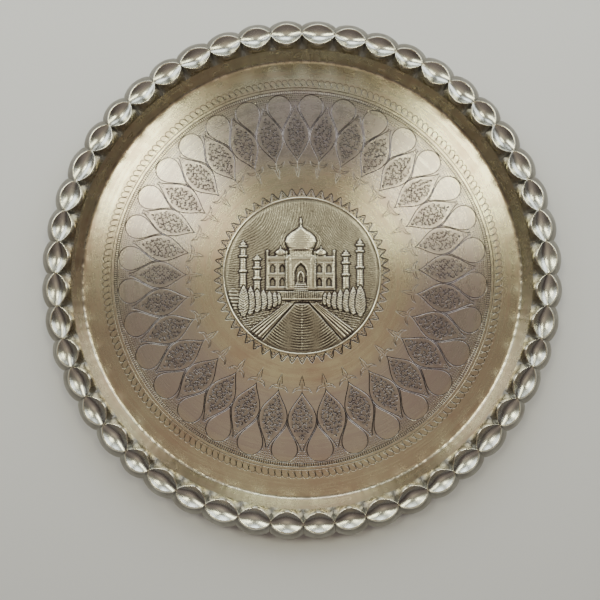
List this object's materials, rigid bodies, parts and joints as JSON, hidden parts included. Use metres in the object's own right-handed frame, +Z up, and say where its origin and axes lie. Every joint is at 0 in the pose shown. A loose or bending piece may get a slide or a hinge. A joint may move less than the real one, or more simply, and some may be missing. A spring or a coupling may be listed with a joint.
{
  "type": "brass tray",
  "caption": "Large round brass tray with a scalloped rim of almond cups, an engraved floor and a central relief medallion of a domed building.",
  "frame": {"origin": "centre of the flat underside, on the surface that the tray lies on", "axes": "+Z up out of the well, +Y towards the top of the medallion's scene, +X to its right"},
  "size_m": [0.5788, 0.5788, 0.028],
  "materials": {
    "pan_brass": "aged satin, engraved",
    "rim_brass": "aged, polished by handling",
    "wire_brass": "dull drawn wire",
    "relief_brass": "aged, dark in the recesses",
    "bezel_brass": "polished by handling"
  },
  "bodies": {
    "root": {"pan": "pan_brass", "cup_rim": "rim_brass", "edge_wire": "wire_brass", "medallion": "relief_brass", "medallion_bezel": "bezel_brass"}
  },
  "joints": []
}
